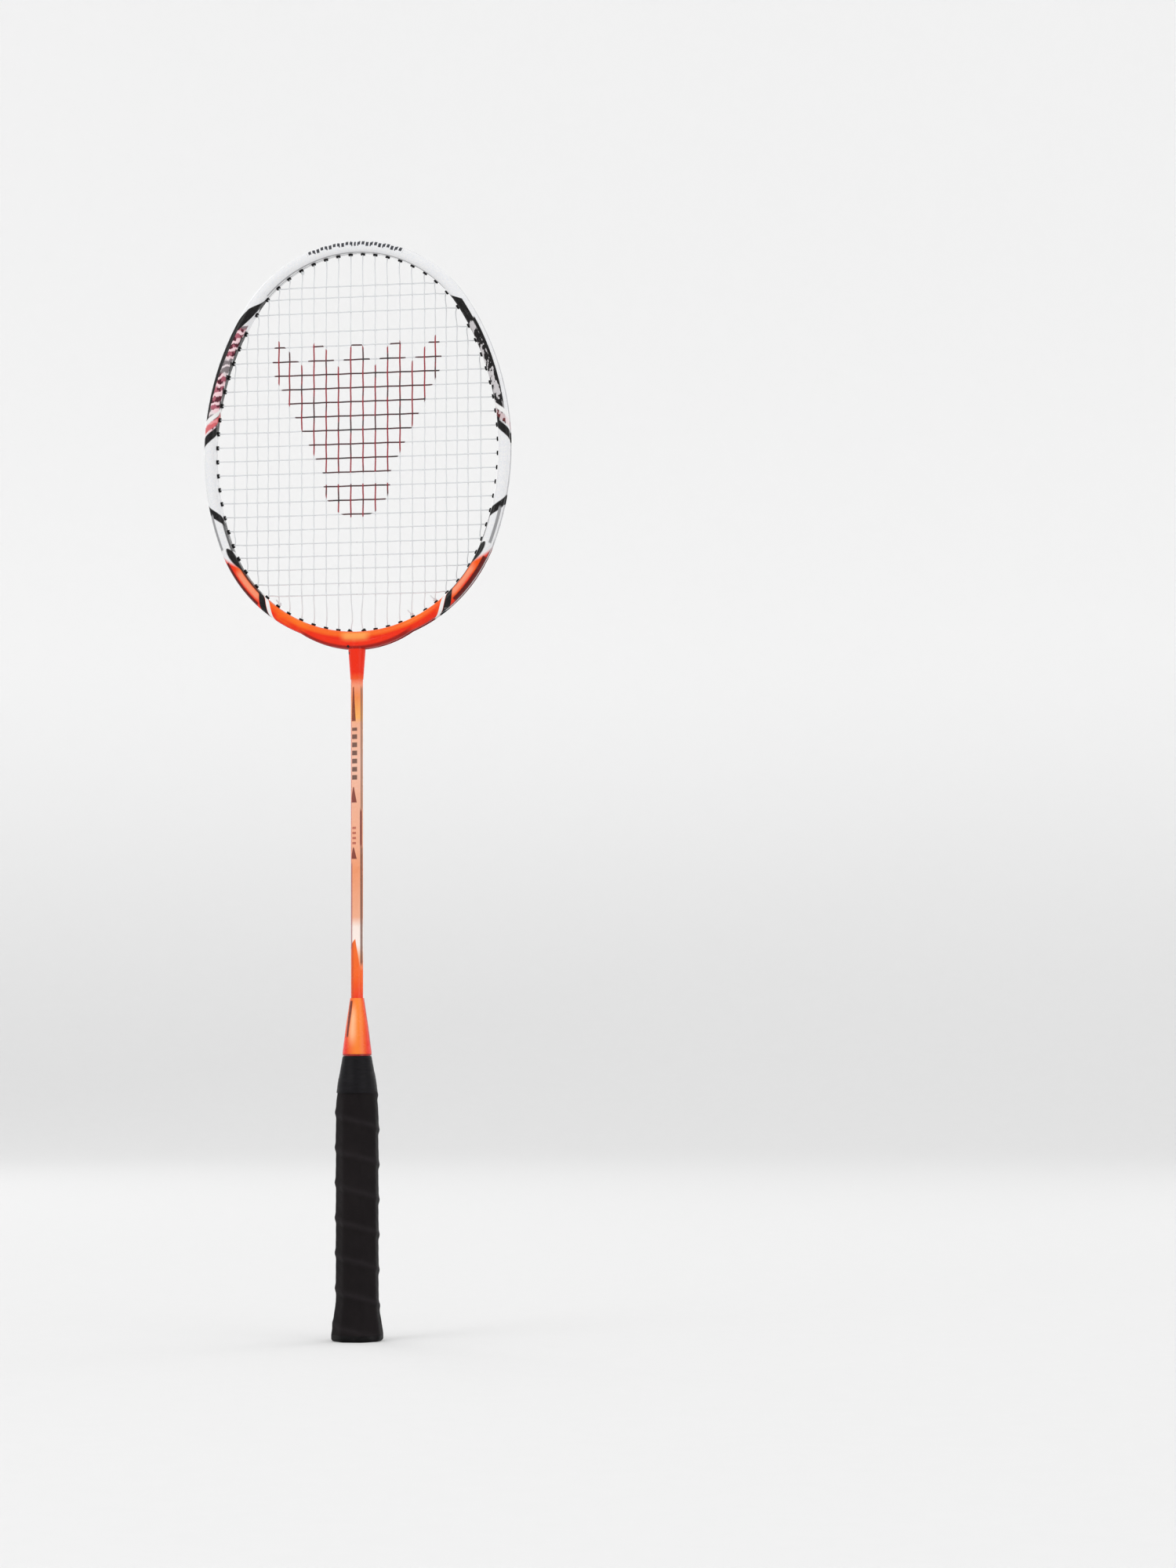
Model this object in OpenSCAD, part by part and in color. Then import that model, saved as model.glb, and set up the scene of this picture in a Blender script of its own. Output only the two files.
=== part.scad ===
// Badminton racket standing on its butt end: the handle, shaft and head run along +Z.
// The string bed lies in the XZ plane and the front of the racket faces -Y.
// All lengths are in millimetres and all angles in degrees.

/* [Overall] */
// Length from the butt end to the crown of the head
overall_len = 675; // [665:1:680]

/* [Head frame] */
// Width of the frame tube, measured in the plane of the strings
tube_w = 7.4; // [7.2:0.1:8.6]
// Depth of the frame tube, measured across the plane of the strings
tube_d = 10.4; // [10.2:0.1:11.6]
// Wall thickness of the frame tube
tube_wall = 1; // [0.8:0.1:1.2]
// Corner radius of the frame tube
tube_corner = 3.2; // [2.8:0.1:3.3]
// Radius of the bottom arc of the head, on the tube's centre line
bottom_r = 88.2; // [87:0.1:90]
// Width of the string groove round the outside of the head
groove_w = 3.2; // [3:0.1:3.4]
// Depth of the string groove
groove_depth = 1.7; // [1.7:0.1:2]
// Width of the neck where the head meets the shaft
neck_w = 10.7; // [10:0.1:11]
// Length of the tapered neck
neck_len = 22; // [20:1:40]
// How far the head thickens downwards above the neck
throat_swell = 3.8; // [3:0.1:4]

/* [Strings] */
// Diameter of the string
string_d = 0.7; // [0.62:0.02:0.72]
// Spacing of the twelve main strings nearest the middle
main_pitch = 7.8; // [7.6:0.05:7.9]
// Spacing of the next four main strings on each side
outer_pitch = 6.8; // [6.7:0.05:7]
// Gap between the last two main strings on each side
last_pitch = 8; // [7.6:0.1:8.2]

/* [Grommets] */
// Diameter of a grommet's barrel
barrel_d = 2.8; // [2.6:0.1:3]
// Length of the barrel that stands out inside the head
barrel_stand = 1.2; // [0.4:0.1:1.3]
// Thickness of a grommet's flange
flange_t = 0.4; // [0.3:0.1:0.5]

/* [Shaft and cone] */
// Diameter of the shaft
shaft_d = 7.5; // [7:0.1:7.8]
// Wall thickness of the shaft
shaft_wall = 1.35; // [1.1:0.05:1.5]
// Height of the shaft's lower end, inside the handle
shaft_bottom = 80; // [72:1:100]
// Height of the top of the cone cap
cone_top = 207.6; // [204:0.2:220]
// Diameter of the cone cap at its top
cone_top_d = 8.5; // [8.4:0.1:9]
// Diameter of the cone cap at its base
cone_base_d = 17.8; // [17:0.1:18.4]

/* [Handle] */
// Height of the top of the wooden handle
core_top = 172.4; // [170:0.2:180]
// Width of the wooden handle across its side flats
core_w = 23.2; // [22:0.1:25]
// Depth of the wooden handle across its front and back flats
core_d = 21.4; // [20:0.1:23]
// Size of the handle's corner bevels
core_bevel = 6.6; // [6:0.1:7]
// How much wider the butt is than the handle, as a ratio
butt_flare = 1.2; // [1.1:0.01:1.25]
// Height where the butt starts to flare
flare_top = 24; // [20:1:30]
// Thickness of the butt cap
cap_t = 4; // [3:0.5:5]
// Thickness of the wound grip
grip_t = 1.6; // [1.2:0.1:2]
// Height where the finishing tape starts
tape_bottom = 150.4; // [149:0.2:155]

/* [Hidden] */

// Head outline: a bottom arc, two side arcs and a top arc, each tangent to the next. They meet along
// directions whose sine and cosine are short decimals, so that the ends of the arcs match exactly.
LOW_DIR = [0.936, -0.352];
HIGH_DIR = [0.8432, 0.5376];
side_over_top = 87.75;
side_over_bottom = side_over_top * HIGH_DIR[0] / LOW_DIR[0];
side_r = bottom_r + side_over_bottom;
top_r = side_r - side_over_top;
bottom_angle = atan2(-LOW_DIR[1], LOW_DIR[0]);
top_angle = atan2(HIGH_DIR[1], HIGH_DIR[0]);
side_shift = -side_over_bottom * LOW_DIR;
top_shift = [0, side_shift[1] + side_over_top * HIGH_DIR[1]];
crown_z = overall_len - tube_w / 2;
bottom_c = [0, crown_z - top_r - top_shift[1]];
side_c = bottom_c + side_shift;
top_c = bottom_c + top_shift;
throat_z = bottom_c[1] - bottom_r;

// Offsets from the tube's centre line, outwards positive
tip_off = -tube_w / 2 - barrel_stand;
floor_off = tube_w / 2 - groove_depth;
lay_off = floor_off + flange_t + string_d / 2;
over_off = lay_off + 0.55;
lane_y = 0.4;
weave_y = string_d / 2 + 0.02;

// Layout of the strings: mains are counted from the middle, crosses from the top.
// Each row is [how many mains it crosses on each side, whether it shares the next main's hole].
HALF_MAINS = 11;
TOP_SINGLES = 6;
BOTTOM_SINGLES = 7;
TOP_ROWS = [[6, true], [7, true], [8, true], [9, true], [10, false], [10, true]];
MIDDLE_ROWS = 12;
BOTTOM_ROWS = [[10, true], [10, false], [9, true], [8, true], [7, true]];
FIRST_LOW = len(TOP_ROWS) + MIDDLE_ROWS;
ROWS = FIRST_LOW + len(BOTTOM_ROWS);
MAIN_TIE = 6;
CROSS_TIE = 4;
// The two middle mains leave the throat this far from the centre, clear of the neck
throat_exit_x = 8.4;

barrel_r = barrel_d / 2;
bore_r = 0.85;
shaft_r = shaft_d / 2;
shaft_bore_r = shaft_r - shaft_wall;
neck_top = throat_z - floor_off + 0.7;
shaft_top = throat_z - tube_w / 2 - 2;
neck_bottom = throat_z - tube_w / 2 - neck_len;
tape_t = 0.7;
skirt_t = 0.9;
pocket_r = 7;
pocket_top = 70;
taper_z = [core_top - 40, core_top - 15, core_top];
taper_r = [13.2, 10, 7.3];
STRING_SIDES = 6;
eps = 0.01;

// Ways to name a place on the head

// The arc that holds a normal angle of the right half: [centre, radius]
function arc_at(a) =
    a < -bottom_angle ? [bottom_c, bottom_r] :
    a < top_angle ? [side_c, side_r] : [top_c, top_r];

// Point of the head at a normal angle: 0 is the right side, 90 the crown and 180 the left side
function on_head(a, off, y = 0) =
    let (
        left = a > 90,
        b = left ? 180 - a : a,
        arc = arc_at(b),
        x = arc[0][0] + (arc[1] + off) * cos(b),
        z = arc[0][1] + (arc[1] + off) * sin(b)
    ) [left ? -x : x, y, z];

// Normal angle where the line at x crosses the upper half of the line of grommet tips
function top_angle_at(x) =
    let (a = acos(x / (top_r + tip_off)))
    a >= top_angle ? a : acos((x - side_c[0]) / (side_r + tip_off));

// The same for the lower half
function bottom_angle_at(x) =
    let (a = -acos(x / (bottom_r + tip_off)))
    a <= -bottom_angle ? a : -acos((x - side_c[0]) / (side_r + tip_off));

// Normal angle where the line at z crosses the right side of the line of grommet tips
function side_angle_at(z) =
    let (
        low = asin(max(-1, (z - bottom_c[1]) / (bottom_r + tip_off))),
        mid = asin((z - side_c[1]) / (side_r + tip_off))
    )
    low < -bottom_angle ? low : mid < top_angle ? mid : asin((z - top_c[1]) / (top_r + tip_off));

function mirrored(a, right) = right ? a : 180 - a;

// String layout
function half_x(k) =
    k < TOP_SINGLES ? (k + 0.5) * main_pitch
    : (TOP_SINGLES - 0.5) * main_pitch + (k - TOP_SINGLES + 1) * outer_pitch
        + (k == HALF_MAINS - 1 ? last_pitch - outer_pitch : 0);
function main_right(i) = i >= HALF_MAINS;
function main_k(i) = main_right(i) ? i - HALF_MAINS : HALF_MAINS - 1 - i;
function main_x(i) = (main_right(i) ? 1 : -1) * half_x(main_k(i));
function is_top(j) = j < len(TOP_ROWS);
function is_low(j) = j >= FIRST_LOW;
function row(j) = is_top(j) ? TOP_ROWS[j] : is_low(j) ? BOTTOM_ROWS[j - FIRST_LOW] : [HALF_MAINS, false];
function crosses(i, j) = main_k(i) < row(j)[0];
function tip_z(a) = on_head(a, tip_off)[2];
function row_z(j) =
    row(j)[1] && is_top(j) ? tip_z(top_angle_at(half_x(row(j)[0]))) :
    row(j)[1] ? tip_z(bottom_angle_at(half_x(row(j)[0]))) :
    is_top(j) || is_low(j) ? (row_z(j - 1) + row_z(j + 1)) / 2 :
    let (
        first = row_z(len(TOP_ROWS) - 1),
        last = row_z(FIRST_LOW),
        t = (j - len(TOP_ROWS) + 1) / (MIDDLE_ROWS + 1)
    ) first + (last - first) * t;
function weave(i, j) = (i + j) % 2 == 0 ? weave_y : -weave_y;

// Holes of the head: [normal angle at the grommet's tip, normal angle in the groove]
function top_hole(k, right) =
    let (a = mirrored(top_angle_at(half_x(k)), right)) [a, a];
function bottom_hole(k, right) =
    let (
        a = mirrored(bottom_angle_at(half_x(k)), right),
        exit = mirrored(-acos(throat_exit_x / (bottom_r + floor_off)), right)
    ) [a, k == 0 ? exit : a];
function row_hole(j, right) =
    row(j)[1] && is_top(j) ? top_hole(row(j)[0], right) :
    row(j)[1] ? bottom_hole(row(j)[0], right) :
    let (a = mirrored(side_angle_at(row_z(j)), right)) [a, a];

crown_holes = [for (right = [false, true], k = [0:TOP_SINGLES - 1]) top_hole(k, right)];
throat_holes = [for (right = [false, true], k = [0:BOTTOM_SINGLES - 1]) bottom_hole(k, right)];
function shoulder_holes(right) = [for (j = [0:len(TOP_ROWS) - 1]) row_hole(j, right)];
function side_holes(right) = [for (j = [len(TOP_ROWS):FIRST_LOW - 1]) row_hole(j, right)];
function lower_holes(right) = [for (j = [FIRST_LOW:ROWS - 1]) row_hole(j, right)];
all_holes = concat(
    crown_holes, throat_holes,
    shoulder_holes(false), side_holes(false), lower_holes(false),
    shoulder_holes(true), side_holes(true), lower_holes(true)
);

// Routes of the strings

// Points through a hole, from the groove to the tip of the grommet
function way_in(hole, y) = [on_head(hole[1], lay_off - 0.5, y), on_head(hole[0], tip_off, y)];
function way_out(hole, y) = [way_in(hole, y)[1], way_in(hole, y)[0]];
// Points along the groove from one hole to the next
function along_groove(from, to, y0, y1, off, steps) = [
    for (s = [0:steps])
        let (t = 0.08 + 0.84 * s / steps)
        on_head(from[1] + (to[1] - from[1]) * t, off, y0 + (y1 - y0) * t)
];

function main_lane(i) = main_right(i) ? -lane_y : lane_y;
function cross_lane(right) = right ? lane_y : -lane_y;
function main_hole(i, top) =
    top ? top_hole(main_k(i), main_right(i)) : bottom_hole(main_k(i), main_right(i));
function main_run(i) =
    let (
        up = i % 2 == 0,
        x = main_x(i),
        y = main_lane(i),
        rows = [for (n = [0:ROWS - 1]) let (j = up ? ROWS - 1 - n : n) if (crosses(i, j)) j],
        to_next = i < 2 * HALF_MAINS - 1 ?
            along_groove(main_hole(i, up), main_hole(i + 1, up), y, main_lane(i + 1), lay_off, 2) : []
    )
    concat(
        way_in(main_hole(i, !up), y),
        [for (j = rows) [x, weave(i, j), row_z(j)]],
        way_out(main_hole(i, up), y),
        to_next
    );

// A tail comes in through a hole that a main already uses, on the other side of its bore
function tail_tip(hole, y) = [on_head(hole[0], tip_off - 1.2, y), on_head(hole[0], tip_off, y),
                              on_head(hole[1], lay_off - 0.5, y)];
function reversed(list) = [for (n = [len(list) - 1:-1:0]) list[n]];
function main_tail(right) =
    let (tie = bottom_hole(MAIN_TIE, right), end = bottom_hole(HALF_MAINS - 1, right))
    concat(
        tail_tip(tie, right ? lane_y : -lane_y),
        along_groove(tie, end, 0, 0, over_off, 5)
    );

main_route = concat(
    main_tail(false),
    [for (i = [0:2 * HALF_MAINS - 1]) each main_run(i)],
    reversed(main_tail(true))
);

function cross_run(j) =
    let (
        rightward = j % 2 == 0,
        z = row_z(j),
        mains = [for (n = [0:2 * HALF_MAINS - 1])
            let (i = rightward ? n : 2 * HALF_MAINS - 1 - n) if (crosses(i, j)) i],
        y0 = cross_lane(!rightward),
        y1 = cross_lane(rightward),
        to_next = j < ROWS - 1 ?
            along_groove(row_hole(j, rightward), row_hole(j + 1, rightward), y1, y1, lay_off, 2) : []
    )
    concat(
        way_in(row_hole(j, !rightward), y0),
        [for (i = mains) [main_x(i), -weave(i, j), z]],
        way_out(row_hole(j, rightward), y1),
        to_next
    );

cross_start = top_hole(CROSS_TIE, false);
cross_end = bottom_hole(CROSS_TIE, true);
cross_route = concat(
    tail_tip(cross_start, cross_lane(false)),
    along_groove(cross_start, row_hole(0, false), cross_lane(false), cross_lane(false), lay_off, 3),
    [for (j = [0:ROWS - 1]) each cross_run(j)],
    along_groove(row_hole(ROWS - 1, true), cross_end, cross_lane(true), cross_lane(true), lay_off, 3),
    reversed(tail_tip(cross_end, cross_lane(true)))
);

function unit(v) = v / norm(v);

// One closed tube swept along a route that never runs parallel to Y
module string_along(route) {
    last = len(route) - 1;
    n = STRING_SIDES;
    rings = [
        for (p = [0:last])
            let (
                ahead = p < last ? unit(route[p + 1] - route[p]) : [0, 0, 0],
                behind = p > 0 ? unit(route[p] - route[p - 1]) : [0, 0, 0],
                along = unit(ahead + behind),
                across = unit(cross([0, 1, 0], along)),
                up = cross(along, across)
            )
            for (s = [0:n - 1])
                route[p] + string_d / 2 * (cos(360 * s / n) * across + sin(360 * s / n) * up)
    ];
    walls = [
        for (p = [0:last - 1], s = [0:n - 1])
            let (t = (s + 1) % n)
            [p * n + s, (p + 1) * n + s, (p + 1) * n + t, p * n + t]
    ];
    start_cap = [for (s = [0:n - 1]) s];
    end_cap = [for (s = [n - 1:-1:0]) last * n + s];
    polyhedron(rings, concat([start_cap], walls, [end_cap]));
}

// Building blocks of the frame

// Rectangle with round corners, centred on the origin
module round_rect(w, d, r) {
    square([w - 2 * r, d], center = true);
    square([w, d - 2 * r], center = true);
    for (x = [-1, 1], y = [-1, 1])
        translate([x * (w / 2 - r), y * (d / 2 - r)]) circle(r = r, $fn = 48);
}

cavity_w = tube_w - groove_depth - 2 * tube_wall;
cavity_d = tube_d - 2 * tube_wall;

// Section of the tube's inside, trimmed all round by the gap
module cavity_section(gap = 0) {
    translate([-groove_depth / 2, 0])
        round_rect(cavity_w - 2 * gap, cavity_d - 2 * gap, cavity_w * 0.4 - gap);
}

module tube_section() {
    difference() {
        round_rect(tube_w, tube_d, tube_corner);
        translate([floor_off, -groove_w / 2]) square([groove_depth + 1, groove_w]);
        cavity_section();
    }
}

// Sweeps a section along an arc of the head that starts in the given direction from its centre.
// A negative sweep runs downwards from there.
module head_arc(centre, radius, dir, sweep) {
    multmatrix([
        [dir[0], -dir[1], 0, centre[0]],
        [0, 0, -1, 0],
        [dir[1], dir[0], 0, centre[1]],
        [0, 0, 0, 1]
    ])
        rotate_extrude(angle = abs(sweep), start = min(sweep, 0), $fn = 240)
            translate([radius, 0]) children();
}

// The whole head tube. The two pieces that make up each arc overlap in the middle of it.
module head_ring() {
    translate([0, 0, bottom_c[1]])
        for (side = [0, 1])
            mirror([side, 0, 0]) {
                head_arc([0, 0], bottom_r, LOW_DIR, -80) tube_section();
                head_arc(side_shift, side_r, LOW_DIR, 28) tube_section();
                head_arc(side_shift, side_r, HIGH_DIR, -28) tube_section();
                head_arc(top_shift, top_r, HIGH_DIR, 64) tube_section();
            }
}

function hole_way(hole) = on_head(hole[1], floor_off) - on_head(hole[0], tip_off);
function hole_len(hole) = norm(hole_way(hole));

// Stands its children at the grommet's tip, with +Z along the hole towards the groove
module along_hole(hole) {
    way = hole_way(hole);
    translate(on_head(hole[0], tip_off))
        rotate([0, atan2(way[0], way[2]), 0]) children();
}

module drill(hole, r) {
    along_hole(hole) translate([0, 0, -1]) cylinder(r = r, h = hole_len(hole) + 5, $fn = 32);
}

module head_frame() {
    color("white")
    difference() {
        union() {
            head_ring();
            neck();
            throat_swelling();
        }
        translate([0, 0, neck_bottom - 1]) cylinder(r = shaft_r, h = shaft_top - neck_bottom + 1, $fn = 64);
        translate([0, 0, neck_bottom]) cylinder(r = shaft_bore_r, h = throat_z - neck_bottom, $fn = 48);
        for (hole = all_holes) drill(hole, barrel_r);
    }
}

// Tapered neck that the top of the shaft is glued into
module neck() {
    straight = 6;
    translate([0, 0, neck_bottom])
        cylinder(r1 = shaft_r + 0.25, r2 = neck_w / 2, h = neck_top - neck_bottom - straight, $fn = 64);
    translate([0, 0, neck_top - straight]) cylinder(r = neck_w / 2, h = straight, $fn = 64);
}

// Thickening of the head above the neck: a tighter arc that hangs below the head's bottom arc.
// It leaves the inside of the tube and the string groove free.
module throat_swelling() {
    swell_r = 60;
    swell_angle = 34;
    swell_c = [0, throat_z - throat_swell + swell_r];
    slot_w = groove_w + 0.2;
    difference() {
        head_arc(swell_c, swell_r, [-sin(swell_angle), -cos(swell_angle)], 2 * swell_angle)
            round_rect(tube_w - 0.4, tube_d - 0.2, tube_corner - 0.2);
        head_arc(bottom_c, bottom_r, [-0.6, -0.8], 73.74) cavity_section(-0.15);
        head_arc(bottom_c, bottom_r, [-0.6, -0.8], 73.74)
            translate([floor_off - 0.3, -slot_w / 2]) square([8, slot_w]);
    }
}

// Hidden joint: two arms inside the head tube and a leg inside the shaft
module t_joint() {
    arm_angle = 13;
    leg_len = 34;
    gap = 0.05;
    color("dimgray")
    difference() {
        union() {
            head_arc(bottom_c, bottom_r, [-sin(arm_angle), -cos(arm_angle)], 2 * arm_angle)
                cavity_section(gap);
            translate([0, 0, throat_z - leg_len])
                cylinder(r = shaft_bore_r - gap, h = leg_len, $fn = 48);
        }
        for (hole = throat_holes) drill(hole, barrel_r);
    }
}

// A barrel through the tube with a flange on the floor of the groove
module grommet(hole) {
    difference() {
        along_hole(hole) {
            cylinder(r = barrel_r, h = hole_len(hole) + flange_t, $fn = 32);
            translate([0, 0, hole_len(hole)]) cylinder(r = groove_w / 2 - 0.05, h = flange_t, $fn = 32);
        }
        drill(hole, bore_r);
    }
}

module grommets(holes) {
    color("black")
    for (hole = holes) grommet(hole);
}

// Two turns of string pulled tight round a main, just inside the grommet that its tail uses
module knot(hole, y) {
    coil_r = string_d + 0.05;
    at = on_head(hole[0], tip_off - 0.9, y);
    color("whitesmoke")
    translate(at)
        for (turn = [-1, 1])
            translate([0, 0, turn * string_d * 0.45])
                rotate_extrude($fn = 32)
                    translate([coil_r, 0]) circle(d = string_d, $fn = 16);
}

module left_main_knot() { knot(bottom_hole(MAIN_TIE, false), lane_y); }
module right_main_knot() { knot(bottom_hole(MAIN_TIE, true), -lane_y); }
module top_cross_knot() { knot(cross_start, lane_y); }
module bottom_cross_knot() { knot(cross_end, -lane_y); }

module main_string() { color("white") string_along(main_route); }
module cross_string() { color("white") string_along(cross_route); }

module crown_grommets() { grommets(crown_holes); }
module throat_grommets() { grommets(throat_holes); }
module left_shoulder_grommets() { grommets(shoulder_holes(false)); }
module right_shoulder_grommets() { grommets(shoulder_holes(true)); }
module left_side_grommets() { grommets(side_holes(false)); }
module right_side_grommets() { grommets(side_holes(true)); }
module left_lower_grommets() { grommets(lower_holes(false)); }
module right_lower_grommets() { grommets(lower_holes(true)); }

// Shaft, cone and handle

module shaft() {
    color("orangered")
    difference() {
        translate([0, 0, shaft_bottom]) cylinder(r = shaft_r, h = shaft_top - shaft_bottom, $fn = 64);
        translate([0, 0, shaft_bottom - 1])
            cylinder(r = shaft_bore_r, h = shaft_top - shaft_bottom + 2, $fn = 64);
    }
}

// Solid of revolution that narrows the handle towards the cone
module taper(extra, from, to) {
    wide = core_w * 1.5;
    rotate_extrude($fn = 96)
        intersection() {
            polygon([
                [0, 0], [wide, 0], [wide, taper_z[0]],
                [taper_r[0] + extra, taper_z[0]], [taper_r[1] + extra, taper_z[1]],
                [taper_r[2] + extra, taper_z[2]], [0, taper_z[2]]
            ]);
            translate([0, from]) square([wide, to - from]);
        }
}

module cone_cap() {
    base = core_top + 0.2;
    skirt_bottom = taper_z[1];
    bore_top = core_top + 6;
    swell = 0.35;
    mid_r = (cone_top_d + cone_base_d) / 4 + swell;
    color("darkorange")
    rotate_extrude($fn = 96)
        polygon([
            [shaft_r, cone_top], [cone_top_d / 2, cone_top],
            [mid_r, (cone_top + base) / 2], [cone_base_d / 2, base + 2], [cone_base_d / 2, base],
            [taper_r[2] + skirt_t, base],
            [taper_r[2] + skirt_t, core_top], [taper_r[1] + skirt_t, skirt_bottom],
            [taper_r[1], skirt_bottom], [taper_r[2], core_top], [shaft_r, bore_top]
        ]);
}

// Octagonal section of the handle, grown by the given amount all round
module octagon(grow) {
    w = core_w / 2 + grow;
    d = core_d / 2 + grow;
    b = core_bevel + grow * 0.586;
    polygon([
        [w - b, -d], [w, -d + b], [w, d - b], [w - b, d],
        [b - w, d], [-w, d - b], [-w, -d + b], [b - w, -d]
    ]);
}

// Octagonal bar with a flared butt, between two heights
module flared_bar(grow, bottom, top) {
    translate([0, 0, flare_top]) linear_extrude(top - flare_top) octagon(grow);
    translate([0, 0, flare_top])
        mirror([0, 0, 1])
            linear_extrude(flare_top - bottom, scale = butt_flare) octagon(grow);
}

module handle_core() {
    color("burlywood")
    difference() {
        intersection() {
            flared_bar(0, cap_t, core_top);
            taper(0, 0, core_top);
        }
        cylinder(r = pocket_r, h = pocket_top, $fn = 64);
        cylinder(r = shaft_r, h = overall_len, $fn = 64);
    }
}

// Plastic end of the handle, with a round plug that fits the handle's pocket
module butt_cap() {
    edge = 1.5;
    plug_top = cap_t + 8;
    rim = grip_t * 0.8;
    color("black")
    union() {
        translate([0, 0, edge]) linear_extrude(cap_t - edge) scale(butt_flare) octagon(rim);
        translate([0, 0, edge])
            mirror([0, 0, 1]) linear_extrude(edge, scale = 0.94) scale(butt_flare) octagon(rim);
        cylinder(r = pocket_r, h = plug_top, $fn = 64);
    }
}

// Wound grip as a closed sleeve over the wood
module grip_tape() {
    color("black")
    difference() {
        intersection() {
            flared_bar(grip_t, cap_t, tape_bottom);
            taper(grip_t + 0.1, 0, tape_bottom);
        }
        intersection() {
            flared_bar(0, cap_t - 1, tape_bottom + 1);
            taper(0, 0, tape_bottom + 1);
        }
    }
}

// Band of tape that holds the end of the grip down over the skirt of the cone cap
module finishing_tape() {
    band_top = core_top - 0.2;
    color("black")
    difference() {
        taper(skirt_t + tape_t, tape_bottom, band_top);
        intersection() {
            taper(0, tape_bottom - 1, taper_z[1]);
            linear_extrude(taper_z[1]) octagon(0);
        }
        taper(skirt_t, taper_z[1], band_top + eps);
    }
}

head_frame();
t_joint();
shaft();
cone_cap();
handle_core();
butt_cap();
grip_tape();
finishing_tape();
crown_grommets();
throat_grommets();
left_shoulder_grommets();
right_shoulder_grommets();
left_side_grommets();
right_side_grommets();
left_lower_grommets();
right_lower_grommets();
main_string();
cross_string();
left_main_knot();
right_main_knot();
top_cross_knot();
bottom_cross_knot();
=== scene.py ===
"""Badminton racket: the looks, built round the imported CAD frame. Units are metres, as in the frame.

The racket stands on its butt with its length along +Z, and the front of the string bed faces -Y.
The frame tube, grommets, shaft and cone are the CAD nodes with painted finishes. The strings, knots,
grip, finishing tape and butt cap are finer meshes that stand for their CAD nodes.
"""

import math

import bmesh
import bpy
from mathutils import Matrix, Vector


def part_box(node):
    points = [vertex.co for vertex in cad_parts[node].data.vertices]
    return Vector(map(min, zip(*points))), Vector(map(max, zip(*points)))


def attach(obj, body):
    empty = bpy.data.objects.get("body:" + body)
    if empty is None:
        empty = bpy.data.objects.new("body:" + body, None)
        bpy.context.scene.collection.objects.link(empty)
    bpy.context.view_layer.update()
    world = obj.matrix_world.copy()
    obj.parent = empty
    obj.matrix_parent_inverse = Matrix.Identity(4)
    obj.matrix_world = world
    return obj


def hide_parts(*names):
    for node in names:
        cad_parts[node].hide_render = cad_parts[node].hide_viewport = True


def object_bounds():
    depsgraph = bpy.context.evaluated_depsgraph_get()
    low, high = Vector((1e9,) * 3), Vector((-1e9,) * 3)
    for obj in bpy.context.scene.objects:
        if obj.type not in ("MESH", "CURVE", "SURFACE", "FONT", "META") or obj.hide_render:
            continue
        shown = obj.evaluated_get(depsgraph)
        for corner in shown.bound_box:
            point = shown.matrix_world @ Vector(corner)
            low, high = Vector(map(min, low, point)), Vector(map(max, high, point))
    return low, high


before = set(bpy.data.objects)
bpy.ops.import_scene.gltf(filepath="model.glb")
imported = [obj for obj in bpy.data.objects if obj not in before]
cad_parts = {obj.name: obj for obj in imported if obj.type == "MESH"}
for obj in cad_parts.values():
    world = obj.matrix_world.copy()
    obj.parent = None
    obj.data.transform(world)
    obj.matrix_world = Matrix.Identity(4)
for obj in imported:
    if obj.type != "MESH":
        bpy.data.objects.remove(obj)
cad_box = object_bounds()

MM = 0.001
ROOT = "root"

# Head outline: centre line of the tube, made of a bottom arc, two side arcs and a top arc
OVERALL = cad_box[1][2]
TUBE_W = 7.4 * MM
LOW_DIR = (0.936, -0.352)
HIGH_DIR = (0.8432, 0.5376)
BOTTOM_R = 88.2 * MM
OVER_TOP = 87.75 * MM
OVER_BOTTOM = OVER_TOP * HIGH_DIR[0] / LOW_DIR[0]
SIDE_R = BOTTOM_R + OVER_BOTTOM
TOP_R = SIDE_R - OVER_TOP
LOW_ANGLE = math.degrees(math.atan2(LOW_DIR[1], LOW_DIR[0]))
HIGH_ANGLE = math.degrees(math.atan2(HIGH_DIR[1], HIGH_DIR[0]))
SIDE_X = -OVER_BOTTOM * LOW_DIR[0]
SIDE_RISE = -OVER_BOTTOM * LOW_DIR[1]
TOP_RISE = SIDE_RISE + OVER_TOP * HIGH_DIR[1]
CROWN_Z = OVERALL - TUBE_W / 2
BOTTOM_C = (0.0, CROWN_Z - TOP_R - TOP_RISE)
SIDE_C = (SIDE_X, BOTTOM_C[1] + SIDE_RISE)
TOP_C = (0.0, BOTTOM_C[1] + TOP_RISE)
THROAT_Z = BOTTOM_C[1] - BOTTOM_R

# Thickening of the head above the neck
SWELL = 3.8 * MM
SWELL_R = 60 * MM

# Offsets from the tube's centre line, outwards positive: the tips of the grommets, the floor of the string
# groove, the string lying on the grommets' flanges and the string's tail lying over it
TIP_OFF = -TUBE_W / 2 - 1.2 * MM
GROOVE_FLOOR = TUBE_W / 2 - 1.7 * MM
LAY_OFF = GROOVE_FLOOR + 0.75 * MM
OVER_OFF = LAY_OFF + 0.55 * MM
# Where a string turns inwards through a hole, and where its free end stops past the grommet
HOLE_OFF = LAY_OFF - 0.5 * MM
TAIL_OFF = TIP_OFF - 1.2 * MM

# Radius of the string, bare and under ink, and how far it sits from the middle in a hole and at a crossing
STRING_R = 0.38 * MM
INKED_R = 0.48 * MM
LANE_Y = 0.4 * MM
WEAVE_Y = 0.39 * MM

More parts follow.
